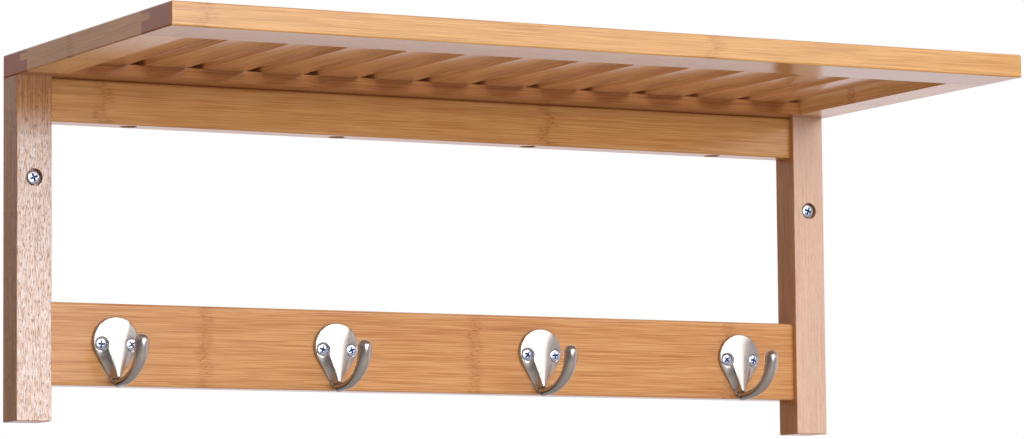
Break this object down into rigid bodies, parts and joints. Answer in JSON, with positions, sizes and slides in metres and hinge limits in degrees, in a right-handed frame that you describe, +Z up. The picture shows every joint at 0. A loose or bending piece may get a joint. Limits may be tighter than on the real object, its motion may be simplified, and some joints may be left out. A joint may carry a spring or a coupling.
{
  "type": "coat rack with shelf",
  "caption": "Wall-hung bamboo coat rack: a slatted shelf on two square posts, with a row of single-prong metal hooks on the rail below.",
  "frame": {"origin": "in the plane of the wall, midway between the two wall screws", "axes": "+X along the rack, to the right as seen from the room; +Y into the wall; +Z up"},
  "size_m": [0.6, 0.2875, 0.235],
  "materials": {
    "bamboo_shelf_frame": "satin lacquer",
    "bamboo_slats": "satin lacquer",
    "bamboo_posts": "satin lacquer",
    "bamboo_rails": "satin lacquer",
    "beech_dowels": "satin lacquer",
    "satin_nickel": "satin nickel plate on a zinc casting",
    "zinc_screws": "bright zinc plate"
  },
  "bodies": {
    "root": {"shelf_front_rail": "bamboo_shelf_frame", "shelf_back_rail": "bamboo_shelf_frame", "shelf_left_end": "bamboo_shelf_frame", "shelf_right_end": "bamboo_shelf_frame", "left_upright": "bamboo_posts", "right_upright": "bamboo_posts", "top_rail": "bamboo_rails", "hook_rail": "bamboo_rails", "hook_screws": "zinc_screws", "wall_screws": "zinc_screws", "shelf_screws": "zinc_screws", "upright_dowels": "beech_dowels", "rail_dowels": "beech_dowels", "slat_01": "bamboo_slats", "slat_02": "bamboo_slats", "slat_03": "bamboo_slats", "slat_04": "bamboo_slats", "slat_05": "bamboo_slats", "slat_06": "bamboo_slats", "slat_07": "bamboo_slats", "slat_08": "bamboo_slats", "slat_09": "bamboo_slats", "slat_10": "bamboo_slats", "slat_11": "bamboo_slats", "slat_12": "bamboo_slats", "slat_13": "bamboo_slats", "hook_1": "satin_nickel", "hook_2": "satin_nickel", "hook_3": "satin_nickel", "hook_4": "satin_nickel"}
  },
  "joints": []
}
